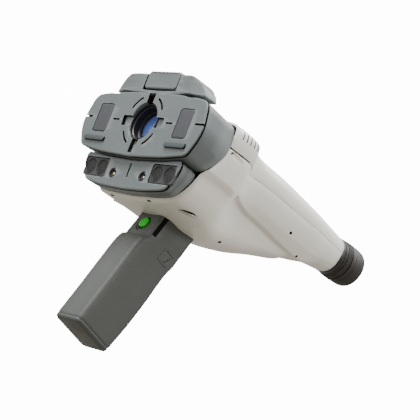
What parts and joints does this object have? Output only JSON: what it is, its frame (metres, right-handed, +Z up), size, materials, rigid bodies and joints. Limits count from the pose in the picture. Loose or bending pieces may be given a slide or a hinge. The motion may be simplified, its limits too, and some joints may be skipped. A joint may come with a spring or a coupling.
{
  "type": "autorefractor",
  "caption": "Handheld eye tester with a hollow grey face plate, an ivory head and viewing tube, a turning eyepiece and a grip that holds the battery.",
  "frame": {"origin": "centre of the grip's flat base, on the mirror plane", "axes": "+Z up the grip, +Y towards the operator's eyepiece, +X to the right-hand side of a patient who looks into the window"},
  "size_m": [0.169, 0.3025, 0.2651],
  "materials": {
    "cover_grey": "fine-textured blue-grey moulded plastic",
    "grip_grey": "fine-textured dark grey moulded plastic",
    "housing_ivory": "smooth ivory moulded plastic",
    "black_plastic": "satin black plastic",
    "pad_grey": "dull dark grey inlay",
    "eyecup_rubber": "soft black rubber",
    "coated_glass": "coated lens with a blue reflection",
    "screw_steel": "plain turned steel",
    "bench_aluminium": "machined aluminium",
    "button_green": "bright green moulded key",
    "circuit_board": "green solder resist",
    "battery_wrap": "dark shrink wrap",
    "brass_parts": "machined brass"
  },
  "bodies": {
    "head": {"front_cover": "cover_grey", "lower_front_cover": "cover_grey", "forehead_rest_block": "cover_grey", "left_grip_shell": "grip_grey", "right_grip_shell": "grip_grey", "control_panel": "grip_grey", "upper_housing": "housing_ivory", "lower_housing": "housing_ivory", "left_inner_sensor_mesh": "black_plastic", "left_outer_sensor_mesh": "black_plastic", "right_inner_sensor_mesh": "black_plastic", "right_outer_sensor_mesh": "black_plastic", "left_aiming_lamp": "black_plastic", "right_aiming_lamp": "black_plastic", "window_bezel": "black_plastic", "eyepiece_collar": "black_plastic", "eyepiece_sleeve": "black_plastic", "button_switch": "black_plastic", "lens_barrel": "black_plastic", "splitter_holder": "black_plastic", "relay_mount": "black_plastic", "light_source": "black_plastic", "left_face_pad": "pad_grey", "right_face_pad": "pad_grey", "left_sensor_frame": "pad_grey", "right_sensor_frame": "pad_grey", "objective_lens": "coated_glass", "beam_splitter": "coated_glass", "relay_lens": "coated_glass", "left_strap_pin": "screw_steel", "right_strap_pin": "screw_steel", "button_spring": "screw_steel", "left_guide_rod": "screw_steel", "right_guide_rod": "screw_steel", "focus_motor": "screw_steel", "grip_tang": "bench_aluminium", "optical_bench": "bench_aluminium", "front_bulkhead": "bench_aluminium", "front_rod_support": "bench_aluminium", "rear_rod_support": "bench_aluminium", "main_board": "circuit_board", "image_sensor_board": "circuit_board", "battery_contacts": "brass_parts"},
    "measure_button": {"measure_button": "button_green"},
    "eyepiece_ring": {"diopter_ring": "black_plastic", "eyecup": "eyecup_rubber"},
    "eyepiece_optics": {"eyepiece_lens": "coated_glass"},
    "forehead_pad": {"forehead_rest_pad": "cover_grey"},
    "battery": {"battery_pack": "battery_wrap", "grip_base_cap": "grip_grey"},
    "latch": {"battery_latch": "grip_grey"},
    "mode_key": {"mode_button": "cover_grey"},
    "print_key": {"print_button": "cover_grey"},
    "power_key": {"power_button": "cover_grey"},
    "screw": {"lead_screw": "brass_parts"},
    "carriage": {"focus_carriage": "bench_aluminium"}
  },
  "joints": [
    {"name": "measure_press", "type": "slide", "parent": "head", "child": "measure_button", "axis": [0, 1, 0], "range_m": [0, 0.002], "stiffness_N_per_m": 600, "springref_m": -0.001},
    {"name": "diopter_turn", "type": "hinge", "parent": "head", "child": "eyepiece_ring", "pos_m": [0, 0.18548, 0.24384], "axis": [0, 0.9636, 0.2672], "range_deg": [-60, 60]},
    {"name": "eyepiece_focus", "type": "slide", "parent": "head", "child": "eyepiece_optics", "axis": [0, 0.9636, 0.2672], "range_m": [-0.0021, 0.0021]},
    {"name": "forehead_pad_slide", "type": "slide", "parent": "head", "child": "forehead_pad", "axis": [0, -0.9379, -0.3469], "range_m": [0, 0.01]},
    {"name": "battery_slide", "type": "slide", "parent": "head", "child": "battery", "axis": [0, 0, -1], "range_m": [0, 0.07]},
    {"name": "latch_slide", "type": "slide", "parent": "head", "child": "latch", "axis": [0, 0, 1], "range_m": [0, 0.004]},
    {"name": "mode_press", "type": "slide", "parent": "head", "child": "mode_key", "axis": [0, 0.2672, -0.9636], "range_m": [0, 0.0008], "stiffness_N_per_m": 800, "springref_m": -0.0005},
    {"name": "print_press", "type": "slide", "parent": "head", "child": "print_key", "axis": [0, 0.2672, -0.9636], "range_m": [0, 0.0008], "stiffness_N_per_m": 800, "springref_m": -0.0005},
    {"name": "power_press", "type": "slide", "parent": "head", "child": "power_key", "axis": [0, 0.2672, -0.9636], "range_m": [0, 0.0008], "stiffness_N_per_m": 800, "springref_m": -0.0005},
    {"name": "screw_turn", "type": "hinge", "parent": "head", "child": "screw", "pos_m": [0, 0.04265, 0.1871], "axis": [0, 0.9636, 0.2672], "range_deg": [-545, 1265]},
    {"name": "carriage_travel", "type": "slide", "parent": "head", "child": "carriage", "axis": [0, 0.9636, 0.2672], "range_m": [-0.006, 0.014]}
  ],
  "couplings": [
    {"joint": "eyepiece_focus", "follows": "diopter_turn", "m_per_rad": 0.0019099},
    {"joint": "screw_turn", "follows": "carriage_travel", "rad_per_m": 1570.8}
  ]
}
